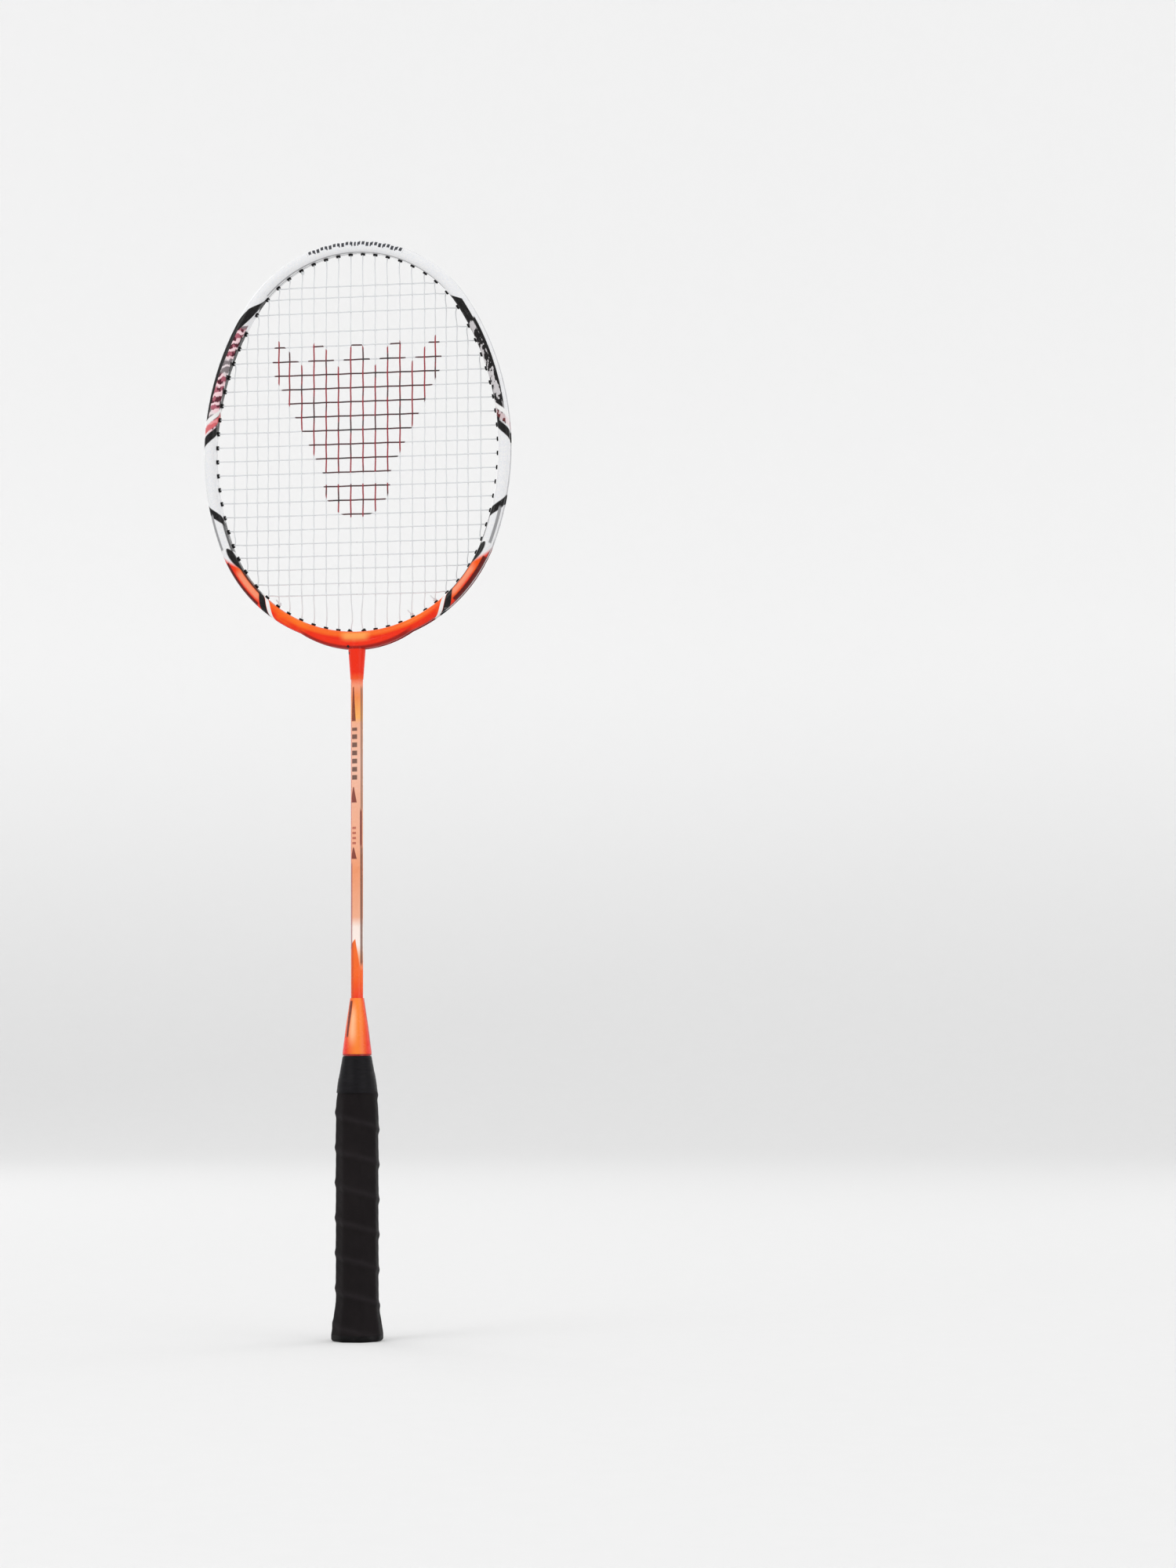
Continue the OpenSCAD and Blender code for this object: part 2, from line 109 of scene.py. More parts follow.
# Layout of the strings, counted from the middle for mains and from the top for crosses
HALF_MAINS = 11
MAIN_PITCH = 7.8 * MM
OUTER_PITCH = 6.8 * MM
LAST_PITCH = 8 * MM
TOP_SINGLES = 6
TOP_ROWS = [(6, True), (7, True), (8, True), (9, True), (10, False), (10, True)]
MIDDLE_ROWS = 12
BOTTOM_ROWS = [(10, True), (10, False), (9, True), (8, True), (7, True)]
FIRST_LOW = len(TOP_ROWS) + MIDDLE_ROWS
ROWS = FIRST_LOW + len(BOTTOM_ROWS)
MAIN_TIE = 6
CROSS_TIE = 4
THROAT_EXIT_X = 8.4 * MM

# Shuttlecock stencil on the strings, cork down, in millimetres. Its heights are from STENCIL_Z.
STENCIL_Z = 560
CORK_TOP, CORK_R = -36, 21
SKIRT_START, SKIRT_END, SKIRT_APEX = -29, 56, -72
SKIRT_SPREAD = 0.5
FEATHERS, NOTCH = 5, 20

# Wooden core of the handle, and the thicknesses of the grip, cone skirt and tape that cover it
CORE_W = 23.2 * MM
CORE_D = 21.4 * MM
CORE_BEVEL = 6.6 * MM
CORE_TOP = 172.4 * MM
CAP_TOP = 4 * MM
BUTT_FLARE = 1.2
FLARE_TOP = 24 * MM
GRIP_T = 1.6 * MM
SKIRT_T = 0.9 * MM
TAPE_T = 0.7 * MM
# (height, radius) of the cone that narrows the core towards its top
TAPER = [(CORE_TOP - 40 * MM, 13.2 * MM), (CORE_TOP - 15 * MM, 10 * MM), (CORE_TOP, 7.3 * MM)]

# Wound grip and the tape over its end. The first winding crosses the front at RIDGE_AT_FRONT, and the crest
# of its ridge is higher by RIDGE_PHASE of the pitch.
GRIP_BOTTOM = 3.6 * MM
GRIP_TOP = 152.4 * MM
TAPE_BOTTOM = 150 * MM
RIDGE_PITCH = 21.2 * MM
RIDGE_AT_FRONT = 24.8 * MM
RIDGE_PHASE = 0.14

SHAFT_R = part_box("shaft")[1][0]


def srgb(red, green, blue):
    """Linear colour from the usual 0 to 255 values."""
    def linear(c):
        c = c / 255
        return c / 12.92 if c <= 0.04045 else ((c + 0.055) / 1.055) ** 2.4
    return (linear(red), linear(green), linear(blue), 1.0)


WHITE = srgb(235, 234, 233)
INK = srgb(16, 14, 15)
GREY_LINE = srgb(150, 150, 152)
RED = srgb(236, 42, 6)
ORANGE = srgb(246, 98, 12)
DEEP_RED = srgb(140, 14, 8)
SALMON = srgb(243, 150, 114)
PEACH = srgb(240, 172, 138)
GOLD = srgb(250, 176, 92)
PINK = srgb(232, 96, 100)
MAROON = srgb(112, 20, 14)


# ---------------------------------------------------------------- materials


def feed(socket, item):
    """Links a field to a socket, or sets the socket to a plain value."""
    if isinstance(item, Field):
        item.nodes.id_data.links.new(item.socket, socket)
    else:
        socket.default_value = item


class Field:
    """A number or colour that varies over a surface: one output socket of a material's nodes."""

    def __init__(self, nodes, socket):
        self.nodes = nodes
        self.socket = socket

    def math(self, operation, *others):
        node = self.nodes.new("ShaderNodeMath")
        node.operation = operation
        for socket, item in zip(node.inputs, (self, *others)):
            feed(socket, item)
        return Field(self.nodes, node.outputs[0])

    def __add__(self, other):
        return self.math("ADD", other)

    def __sub__(self, other):
        return self.math("SUBTRACT", other)

    def __mul__(self, other):
        return self.math("MULTIPLY", other)

    def __truediv__(self, other):
        return self.math("DIVIDE", other)

    def __neg__(self):
        return self * -1.0

    def inverse(self):
        return -self + 1.0


def from_range(field, low, high, out_low=0.0, out_high=1.0, smooth=True):
    """Maps low..high to out_low..out_high and holds it there outside them."""
    node = field.nodes.new("ShaderNodeMapRange")
    node.interpolation_type = "SMOOTHSTEP" if smooth else "LINEAR"
    for socket, item in zip(node.inputs, (field, low, high, out_low, out_high)):
        feed(socket, item)
    return Field(field.nodes, node.outputs[0])


def above(field, edge, soft):
    """1 where field is over edge and 0 where it is under, with a soft border of that half width."""
    return from_range(field - edge, -soft, soft)


def between(field, low, high, soft):
    """1 where field is between two edges and 0 outside them, with soft borders."""
    return above(field, low, soft) * above(field, high, soft).inverse()


def ramp(field, stops):
    """Colour along a field, from a list of (value, colour)."""
    low, high = stops[0][0], stops[-1][0]
    node = field.nodes.new("ShaderNodeValToRGB")
    elements = node.color_ramp.elements
    while len(elements) < len(stops):
        elements.new(0.5)
    for element, (value, colour) in zip(elements, stops):
        element.position = (value - low) / (high - low)
        element.color = colour
    feed(node.inputs[0], from_range(field, low, high, smooth=False))
    return Field(field.nodes, node.outputs[0])


class Finish:
    """A material made from fields over the object's own coordinates, in millimetres."""

    def __init__(self, name, **fixed):
        self.material = bpy.data.materials.new(name)
        self.material.use_nodes = True
        self.nodes = self.material.node_tree.nodes
        self.shader = self.nodes["Principled BSDF"]
        self.relief = None
        for key, value in fixed.items():
            self.shader.inputs[key.replace("_", " ").title().replace("Ior", "IOR")].default_value = value
        self.coords = self.nodes.new("ShaderNodeTexCoord").outputs["Object"]
        split = self.nodes.new("ShaderNodeSeparateXYZ")
        self.nodes.id_data.links.new(self.coords, split.inputs[0])
        self.x, self.y, self.z = (Field(self.nodes, out) * (1 / MM) for out in split.outputs)

    def noise(self, scale, detail, stretch=(1.0, 1.0, 1.0)):
        """Noise of that many bumps a metre, drawn out along the axes by stretch."""
        moved = self.nodes.new("ShaderNodeMapping")
        self.nodes.id_data.links.new(self.coords, moved.inputs["Vector"])
        moved.inputs["Scale"].default_value = stretch
        node = self.nodes.new("ShaderNodeTexNoise")
        node.inputs["Scale"].default_value = scale
        node.inputs["Detail"].default_value = detail
        self.nodes.id_data.links.new(moved.outputs[0], node.inputs["Vector"])
        return Field(self.nodes, node.outputs["Fac"])

    def mix(self, first, second, share):
        """Colour that goes from first to second as share goes from 0 to 1."""
        node = self.nodes.new("ShaderNodeMix")
        node.data_type = "RGBA"
        # Of a mix node's sockets, input 0 is the share, 6 and 7 are its colours, and output 2 is the result
        for index, item in ((0, share), (6, first), (7, second)):
            feed(node.inputs[index], item)
        return Field(self.nodes, node.outputs[2])

    def colour(self, item):
        feed(self.shader.inputs["Base Color"], item)

    def roughness(self, item):
        feed(self.shader.inputs["Roughness"], item)

    def bump(self, height, depth):
        """Adds relief: height runs from 0 to 1 over that depth in millimetres."""
        node = self.nodes.new("ShaderNodeBump")
        node.inputs["Distance"].default_value = depth * MM
        feed(node.inputs["Height"], height)
        if self.relief:
            self.nodes.id_data.links.new(self.relief, node.inputs["Normal"])
        self.relief = node.outputs[0]
        self.nodes.id_data.links.new(self.relief, self.shader.inputs["Normal"])


def turn_from_front(f):
    """Angle round the racket's own axis in degrees: 0 in front and positive to the right."""
    return f.x.math("ARCTAN2", -f.y) * math.degrees(1)


def hoop_fields(f):
    """Two fields over the head, the same on its left and right halves.

    The first is the normal angle in degrees: -90 at the throat, 0 at the side and 90 at the crown.
    The second runs round the tube: -1 inside the head, 0 in front or behind, and 1 outside.
    """
    x = f.x.math("ABSOLUTE")

    def polar(centre, radius):
        dx = x - centre[0] / MM
        dz = f.z - centre[1] / MM
        angle = dz.math("ARCTAN2", dx) * math.degrees(1)
        reach = (dx * dx + dz * dz).math("SQRT") - radius / MM
        return angle, reach

    low, low_off = polar(BOTTOM_C, BOTTOM_R)
    side, side_off = polar(SIDE_C, SIDE_R)
    high, high_off = polar(TOP_C, TOP_R)
    is_low = low.math("LESS_THAN", LOW_ANGLE)
    is_high = high.math("GREATER_THAN", HIGH_ANGLE)

    def pick(a, b, c):
        lower = a * is_low + b * is_low.inverse()
        return c * is_high + lower * is_high.inverse()

    off = pick(low_off, side_off, high_off)
    return pick(low, side, high), off.math("ARCTAN2", f.y.math("ABSOLUTE")) * (2 / math.pi)


def stroke(angle, around, start, end, thick):
    """Mask of a stroke pointed at both ends. start and end are (angle, around); thick is its half width."""
    t = from_range(angle, start[0], end[0], smooth=False)
    inside = between(angle, min(start[0], end[0]), max(start[0], end[0]), 0.15)
    centre = t * (end[1] - start[1]) + start[1]
    swell = (t * math.pi).math("SINE").math("POWER", 0.6)
    return above(swell * thick, (around - centre).math("ABSOLUTE"), 0.06) * inside


def slash(angle, around, inner, outer, half, widen=0.0):
    """Mask of a straight bar across the tube, from one angle inside to another outside.

    half is its half width in degrees, and widen is what that gains by the outside.
    """
    share = (around + 1.0) * 0.5
    lean = share * (outer - inner) + inner
    return above((angle - lean).math("ABSOLUTE") - share * widen, half, 0.18).inverse()


def rod_colour(f):
    """Paint of the shaft and of the neck above it, by height and by angle from the front, with painted
    shade along the shaft's rounded sides.
    """
    turn = turn_from_front(f)
    base = ramp(f.z, [
        (212, ORANGE), (224, ORANGE), (233, srgb(247, 178, 138)), (240, srgb(250, 236, 228)),
        (251, srgb(250, 232, 222)), (257, PEACH), (286, srgb(238, 150, 104)), (300, PEACH),
        (330, srgb(240, 176, 146)), (352, srgb(243, 190, 166)), (376, PEACH), (379, GOLD),
        (392, srgb(240, 136, 70)), (399, SALMON), (403, srgb(240, 90, 40)), (407, RED), (431, RED),
    ])

    # Orange spear that rises from the cone to a point in front, steeper on its left
    point = 244
    left_reach = from_range(f.z, 233, point, 150, 0, smooth=False)
    right_reach = from_range(f.z, 209, point, 84, -4, smooth=False)
    spear = above(left_reach, -turn, 4) * above(right_reach, turn, 4) * above(f.z, point, 0.4).inverse()
    tone = ramp(f.z, [(205, RED), (222, ORANGE), (point, srgb(243, 110, 34))])
    tone = f.mix(tone, srgb(206, 74, 12), above(turn, -22, 14).inverse() * 0.7)
    colour = f.mix(base, tone, spear)

    # Dark red spears on the front left
    for low, tip, wide in ((377, 398, 24), (327, 336.5, 34), (292.5, 299.5, 34)):
        half = from_range(f.z, low, tip, wide, 6, smooth=False)
        mask = above(half, (turn + 22.0).math("ABSOLUTE"), 3) * between(f.z, low, tip, 0.4)
        colour = f.mix(colour, MAROON, mask * 0.9)

    # Plain dashes up the front, in a bold row and a fine one
    bold = between((f.z / 5.0).math("FRACT"), 0.2, 0.78, 0.05) * between(f.z, 341, 373, 0.2)
    colour = f.mix(colour, srgb(70, 36, 32), bold * between(turn, -39, 15, 3) * 0.85)
    fine = between((f.z / 3.1).math("FRACT"), 0.25, 0.7, 0.08) * between(f.z, 301, 313, 0.2)
    colour = f.mix(colour, srgb(170, 70, 56), fine * between(turn, -36, 4, 3) * 0.8)

    # Dark lines along the sides of the shaft, partly pinstripes and partly painted shade of its rounded
    # sides: (angle, half width, bottom, top, colour, strength)
    for at, half, low, high, tint, share in (
            (56, 14, 300, 323, MAROON, 0.9), (62, 17, 228, 300, srgb(110, 64, 50), 0.85),
            (-52, 15, 238, 290, srgb(150, 66, 74), 0.8), (65, 16, 323, 398, srgb(120, 84, 66), 0.7),
            (-54, 9, 290, 400, srgb(206, 80, 60), 0.7), (124, 10, 240, 400, MAROON, 0.7)):
        line = above((turn - at).math("ABSOLUTE"), half, 4).inverse() * between(f.z, low, high, 2)
        colour = f.mix(colour, tint, line * share)
    return colour


def lacquer(f, colour):
    """Clear gloss over paint, with faint orange peel and a few pale rubbed spots."""
    peel = f.noise(900, 2)
    rub = f.noise(160, 6)
    f.colour(f.mix(colour, WHITE, from_range(rub, 0.70, 0.78) * 0.25))
    f.roughness(from_range(rub, 0.35, 0.75, 0.2, 0.34))
    f.bump(peel, 0.02)


def crown_marks(f, colour, angle, around):
    """Faint grey lines of painted shade along the inside and outside edges of the crown, with a row of
    dashes between them.
    """
    # Painted shade: a grey line along the inner edge of the tube
    inner = between(around, -0.66, -0.48, 0.03) * above(angle, 42, 0.4)
    colour = f.mix(colour, GREY_LINE, inner * 0.8)
    dash = between((angle / 1.9).math("FRACT"), 0.14, 0.8, 0.06) * above(angle, 68, 0.2)
    tall = above((angle / 5.7).math("FRACT"), 0.5, 0.02) * 0.1
    colour = f.mix(colour, srgb(60, 62, 68), dash * between(around + tall, 0.1, 0.46, 0.04))
    # Painted shade: a grey line along the outer edge of the tube
    outer = between(around, 0.56, 0.64, 0.03) * above(angle, 60, 0.3)
    return f.mix(colour, GREY_LINE, outer)


def shoulder_marks(f, colour, angle, around, left):
    """Ragged band with light chips, black on the right and pink on the left, and the leaf above it."""
    grain = f.noise(330, 3, (1.0, 0.5, 0.6))
    chips = from_range(grain, 0.48, 0.53)
    patches = from_range(f.noise(46, 1), 0.42, 0.5)
    hatch = between((angle * 0.5 + around * 0.8 + grain * 1.2).math("FRACT"), 0.2, 0.8, 0.08)
    dark = f.mix(INK, srgb(214, 210, 212), chips * 0.85)
    pale = f.mix(srgb(226, 214, 216), srgb(84, 76, 80), hatch * 0.8)
    pink = f.mix(srgb(240, 206, 212), f.mix(srgb(170, 92, 108), srgb(84, 26, 42), chips), hatch)
    body = f.mix(dark, f.mix(pale, pink, patches), left)
    outside = left * 0.3 + 0.26
    zone = between(angle + around * 1.5, 4.6, 28.5, 0.3)
    colour = f.mix(colour, body, zone * between(around, -0.62, outside, 0.04))

    # Black edges: ragged along the inside, and widening downwards along the outside
    ragged = above(around, (angle * 0.34).math("FRACT") * 0.26 - 0.7, 0.03).inverse()
    colour = f.mix(colour, INK, ragged * between(angle, 5, 28, 0.3) * 0.95)
    outer_low = from_range(angle, 8, 22, 0.22, 0.02, smooth=False)
    edge = between(around, outer_low, outside, 0.03) * between(angle, 6.5, 28, 0.3)
    colour = f.mix(colour, INK, edge)

    # A black leaf joins the band. On the left it crosses to the outside, on the right it stays inside.
    staying = from_range(angle, 42, 33, -1.0, 0.14, smooth=False)
    crossing = from_range(angle, 42, 29, -0.95, 0.45, smooth=False)
    leaf_out = staying * left.inverse() + crossing * left
    leaf_in = from_range(angle, 37, 26.5, -1.2, 0.1, smooth=False) * left - left.inverse()
    leaf = above(leaf_out, around, 0.03) * above(around, leaf_in, 0.03)
    return f.mix(colour, INK, leaf * above(angle + around * 1.6, 27.4, 0.2))


def side_marks(f, colour, angle, around, left):
    """Slashes above and below the plain white stretch of each side, and fine lines below it."""
    colour = f.mix(colour, WHITE, slash(angle, around, 10.2, 5.0, 0.6))
    colour = f.mix(colour, PINK, slash(angle, around, 8.6, 3.4, 0.8) * (left * 0.55 + 0.15))
    colour = f.mix(colour, INK, slash(angle, around, 6.3, 0.9, 1.05))
    colour = f.mix(colour, INK, slash(angle, around, -16.2, -10.4, 1.05))
    inner_line = between(around, -0.98, -0.36, 0.04) * between(angle, -23, -15.2, 0.4)
    colour = f.mix(colour, INK, inner_line * 0.85)
    outer_line = between(around, 0.18, 0.42, 0.04) * between(angle, -21, -13, 0.4)
    return f.mix(colour, GREY_LINE, outer_line)


def throat_colour(f, angle, around):
    """Red and orange of the lower part, with painted light and shade on the tube: an orange painted
    highlight inside, deep red painted shade outside, a salmon painted highlight on each side and a gold
    painted highlight over the neck.
    """
    # Painted light and shade round the tube: orange painted highlight on the inner upper side, deep red
    # painted shade along the outer edge
    colour = ramp(around, [
        (-1.0, RED), (-0.4, ORANGE), (0.1, RED), (0.45, RED), (0.62, DEEP_RED), (1.0, DEEP_RED),
    ])
    cloud = from_range(f.noise(70, 2), 0.45, 0.65)
    colour = f.mix(colour, ORANGE, cloud * between(around, -0.7, 0.3, 0.1) * 0.7)
    # Salmon painted highlight along the front of the tube on each side
    salmon_highlight = between(angle, -46, -32, 2.0) * between(around, -0.32, 0.08, 0.12)
    colour = f.mix(colour, SALMON, salmon_highlight * 0.85)
    offset = f.x.math("ABSOLUTE")
    colour = f.mix(colour, RED, above(offset, 30, 4).inverse())
    # Painted highlight on the inner upper side near the neck
    top_light = above(offset, 44, 12).inverse() * between(around, -0.55, 0.0, 0.15)
    colour = f.mix(colour, srgb(250, 128, 30), top_light * 0.55)
    # Gold painted highlight on the front over the neck
    gold_highlight = above(offset, 8, 3).inverse() * between(around, -0.35, 0.22, 0.2)
    colour = f.mix(colour, GOLD, gold_highlight * 0.7)

    # Painted shade along the dark lower edge, which follows the arc of the swelling
    rise = f.z - (THROAT_Z - SWELL + SWELL_R) / MM
    drop = (f.x * f.x + rise * rise).math("SQRT") - SWELL_R / MM
    return f.mix(colour, DEEP_RED, above(drop, 1.6, 0.6) * above(offset, 34, 3).inverse() * 0.85)


def lower_marks(f, colour, angle, around):
    """Painted shade along the outer and inner edges, a black leaf, and a black and a white slash over the
    start of the red.
    """
    # Painted shade: dark red along the outer edge and black along the inner edge of this stretch
    outer_edge_shade = between(around, 0.2, 0.72, 0.05) * between(angle, -47, -26.5, 0.4)
    colour = f.mix(colour, srgb(96, 14, 8), outer_edge_shade)
    inner_edge_shade = above(around, -0.36, 0.04).inverse()
    colour = f.mix(colour, INK, inner_edge_shade * between(angle, -45, -30, 0.5) * 0.9)
    colour = f.mix(colour, INK, stroke(angle, around, (-21, -0.1), (-35.5, -1.0), 0.42))
    colour = f.mix(colour, INK, slash(angle, around, -42.0, -54.8, 1.5, 0.9))
    return f.mix(colour, WHITE, slash(angle, around, -44.9, -58.4, 1.15))


def frame_colour(f):
    """Paint of the head: white above, red below, with the black and pink marks between them, and painted
    light and shade on the tube, the salmon highlights among it.
    """
    angle, around = hoop_fields(f)
    left = f.x.math("LESS_THAN", 0.0)
    pearl = from_range(f.noise(1500, 1), 0.3, 0.7)
    colour = f.mix(WHITE, srgb(224, 226, 230), pearl)
    colour = crown_marks(f, colour, angle, around)
    colour = shoulder_marks(f, colour, angle, around, left)
    colour = side_marks(f, colour, angle, around, left)
    red_share = above(around * 7.0 - 27.6, angle, 1.6)
    colour = f.mix(colour, throat_colour(f, angle, around), red_share)
    return lower_marks(f, colour, angle, around)


def frame_finish():
    f = Finish("frame_lacquer", coat_weight=0.15, coat_roughness=0.06, specular_ior_level=0.15)
    colour = frame_colour(f)
    neck = above(f.z, (THROAT_Z - TUBE_W / 2 - SWELL) / MM + 0.4, 0.3).inverse()
    colour = f.mix(colour, rod_colour(f), neck)
    # Two small dots on the left of the neck, in front only
    dot_x = f.x + 4.4
    for height in (423, 419):
        dot_z = f.z - height
        dot = above(dot_x * dot_x + dot_z * dot_z, 0.7, 0.3).inverse()
        colour = f.mix(colour, INK, dot * above(f.y, 0, 0.1).inverse())
    lacquer(f, colour)
    return f.material


def shaft_finish():
    f = Finish("shaft_lacquer", coat_weight=0.3, coat_roughness=0.06, specular_ior_level=0.3)
    lacquer(f, rod_colour(f))
    return f.material


def cone_finish():
    f = Finish("cone_lacquer", coat_weight=0.3, coat_roughness=0.08, specular_ior_level=0.3)
    turn = turn_from_front(f)
    lower = ramp(f.z, [(172, srgb(226, 30, 10)), (180, RED), (195, ORANGE), (208, ORANGE)])
    # Painted light and shade of the rounded cone: lighter gold down the front, redder and then darker
    # towards the right edge
    colour = f.mix(lower, srgb(250, 136, 36), between(turn, -16, 44, 30) * 0.85)
    colour = f.mix(colour, RED, above(turn, 62, 20) * 0.8)
    colour = f.mix(colour, srgb(150, 24, 8), above(turn, 82, 10) * between(f.z, 178, 210, 5) * 0.7)
    # Painted highlight: a pale streak left of the front, over the middle of the cone
    flare = between(turn, -26, 6, 16) * between(f.z, 182, 201, 6)
    colour = f.mix(colour, srgb(254, 190, 140), flare * 0.85)
    wide = from_range(f.z, 184, 205, 7, 15)
    line = above((turn + 38.0).math("ABSOLUTE"), wide, 3).inverse() * between(f.z, 184, 206, 0.6)
    colour = f.mix(colour, srgb(92, 14, 8), line * 0.9)
    back = above((turn.math("ABSOLUTE") - 180.0).math("ABSOLUTE"), wide * 1.6, 3).inverse()
    colour = f.mix(colour, WHITE, back * between(f.z, 180, 205, 0.6) * 0.9)
    rim = above(f.z, 173.6, 0.2).inverse()
    colour = f.mix(colour, DEEP_RED, rim)
    lacquer(f, colour)
    return f.material


def grommet_finish():
    f = Finish("grommet_nylon", specular_ior_level=0.1)
    cloud = f.noise(700, 3)
    f.colour(f.mix(srgb(14, 14, 16), srgb(34, 33, 35), cloud))
    f.roughness(from_range(cloud, 0.3, 0.7, 0.32, 0.5))
    f.bump(cloud, 0.03)
    return f.material


def stencil_mask(f):
    """A plain upright shuttlecock: a half-round cork below a skirt with a notched top edge."""
    rise = f.z - STENCIL_Z
    side = f.x.math("ABSOLUTE")
    soft = 0.35

    drop = (rise - CORK_TOP) / CORK_R
    cork_half = (-(drop * drop) + 1.0).math("MAXIMUM", 0.0).math("SQRT") * CORK_R
    cork = above(cork_half, side, soft) * above(rise, CORK_TOP, soft).inverse()

    half = (rise - SKIRT_APEX) * SKIRT_SPREAD
    across = (side / half * (FEATHERS / 2) + 0.5).math("FRACT")
    tips = (across - 0.5).math("ABSOLUTE") * (-2 * NOTCH) + SKIRT_END
    skirt = above(half, side, soft) * above(rise, SKIRT_START, soft) * above(rise, tips, soft).inverse()
    return cork.math("MAXIMUM", skirt)


def string_finish(name, ink, dark):
    """White nylon string with a fine spiral wrap and the slightly worn ink of the stencil."""
    f = Finish(name, coat_weight=0.3, coat_roughness=0.2, specular_ior_level=0.5)
    worn = f.noise(2600, 3)
    strand = f.noise(90, 1, (1.0, 0.05, 1.0))
    tint = f.mix(ink, dark, from_range(strand, 0.5, 0.64))
    painted = stencil_mask(f) * from_range(worn, 0.28, 0.4, 0.72, 1.0)
    white = f.mix(srgb(228, 229, 229), srgb(206, 209, 213), worn)
    f.colour(f.mix(white, tint, painted))
    f.roughness(from_range(worn, 0.3, 0.7, 0.28, 0.42))
    twist = ((f.x + f.y * 2.0 + f.z) * 5.2).math("SINE")
    f.bump(twist * 0.5 + 0.5, 0.02)
    return f.material


def grip_finish():
    f = Finish("grip_polyurethane", specular_ior_level=0.07)
    grain = f.noise(1900, 4)
    patch = f.noise(55, 3)
    turn = f.x.math("ARCTAN2", -f.y) / (2 * math.pi)
    phase = ((f.z - RIDGE_AT_FRONT / MM) / (RIDGE_PITCH / MM) + turn).math("FRACT")
    # Painted highlight along the crests of the ridges
    ridge_highlight = above((phase - RIDGE_PHASE).math("ABSOLUTE"), 0.05, 0.12).inverse()
    colour = f.mix(srgb(17, 14, 15), srgb(30, 26, 27), patch)
    f.colour(f.mix(colour, srgb(44, 40, 42), ridge_highlight * 0.5))
    f.roughness(from_range(grain, 0.3, 0.7, 0.5, 0.66))
    f.bump(grain, 0.09)
    f.bump(f.noise(420, 2), 0.08)
    return f.material


def tape_finish():
    f = Finish("finishing_vinyl", specular_ior_level=0.09)
    stretch = f.noise(240, 3, (1.0, 1.0, 4.0))
    f.colour(f.mix(srgb(12, 11, 13), srgb(28, 27, 30), stretch))
    f.roughness(from_range(stretch, 0.3, 0.7, 0.28, 0.42))
    f.bump(stretch, 0.06)
    return f.material


def butt_finish():
    f = Finish("butt_plastic", specular_ior_level=0.1)
    grain = f.noise(1400, 3)
    scuff = f.noise(120, 6)
    f.colour(f.mix(srgb(14, 13, 14), srgb(44, 42, 43), from_range(scuff, 0.55, 0.8)))
    f.roughness(from_range(scuff, 0.3, 0.7, 0.4, 0.6))
    f.bump(grain, 0.04)
    return f.material


def wood_finish():
    f = Finish("handle_ash", specular_ior_level=0.3)
    rings = f.noise(220, 4, (1.0, 1.0, 0.06))
    f.colour(f.mix(srgb(214, 180, 132), srgb(168, 124, 78), rings))
    f.roughness(from_range(rings, 0.3, 0.7, 0.55, 0.75))
    f.bump(rings, 0.1)
    return f.material


def composite_finish():
    f = Finish("joint_composite", specular_ior_level=0.4)
    fibre = f.noise(900, 2, (1.0, 1.0, 0.2))
    f.colour(f.mix(srgb(40, 41, 43), srgb(74, 75, 78), fibre))
    f.roughness(from_range(fibre, 0.3, 0.7, 0.4, 0.6))
    return f.material


# ---------------------------------------------------------------- meshes


def add_piece(name, mesh, material, node):
    """Places a mesh on the racket's body, where it stands for a CAD node."""
    piece = bpy.data.objects.new(name, mesh)
    bpy.context.scene.collection.objects.link(piece)
    mesh.materials.append(material)
    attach(piece, ROOT)
    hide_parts(node)
    return piece


def new_piece(name, points, faces, material, node):
    """A smooth closed piece from points and faces."""
    mesh = bpy.data.meshes.new(name)
    mesh.from_pydata([tuple(p) for p in points], [], faces)
    mesh.validate()
    work = bmesh.new()
    work.from_mesh(mesh)
    bmesh.ops.recalc_face_normals(work, faces=work.faces)
    for face in work.faces:
        face.smooth = True
    work.to_mesh(mesh)
    work.free()
    return add_piece(name, mesh, material, node)


def ring_walls(rings, sides):
    """Quads between rings of points, with a cap at each end."""
    faces = []
    for r in range(rings - 1):
        for s in range(sides):
            t = (s + 1) % sides
            faces.append((r * sides + s, (r + 1) * sides + s, (r + 1) * sides + t, r * sides + t))
    faces.append(tuple(range(sides)))
    faces.append(tuple((rings - 1) * sides + s for s in range(sides)))
    return faces


def smooth_path(points, steps):
    """A smooth curve through the points. Each span is as long as its chord, so that it never overshoots."""
    last = len(points) - 1
    ways = []
    for i in range(last + 1):
        ahead = points[min(i + 1, last)] - points[i]
        behind = points[i] - points[max(i - 1, 0)]
        ways.append((ahead.normalized() + behind.normalized()).normalized())
    out = []
    for i in range(last):
        a, b = points[i], points[i + 1]
        chord = (b - a).length
        for s in range(steps):
            t = s / steps
            h1 = 2 * t ** 3 - 3 * t ** 2 + 1
            h2 = t ** 3 - 2 * t ** 2 + t
            h3 = 3 * t ** 2 - 2 * t ** 3
            h4 = t ** 3 - t ** 2
            out.append(a * h1 + ways[i] * (chord * h2) + b * h3 + ways[i + 1] * (chord * h4))
    out.append(points[last])
    return out


def tube(path, radius_at, sides, up=Vector((0, 1, 0))):
    """Points and faces of a round tube along a path that never runs parallel to up."""
    points = []
    last = len(path) - 1
    for i, at in enumerate(path):
        along = (path[min(i + 1, last)] - path[max(i - 1, 0)]).normalized()
        across = up.cross(along).normalized()
        lift = along.cross(across)
        for s in range(sides):
            turn = 2 * math.pi * s / sides
            points.append(at + radius_at(at) * (math.cos(turn) * across + math.sin(turn) * lift))
    return points, ring_walls(len(path), sides)


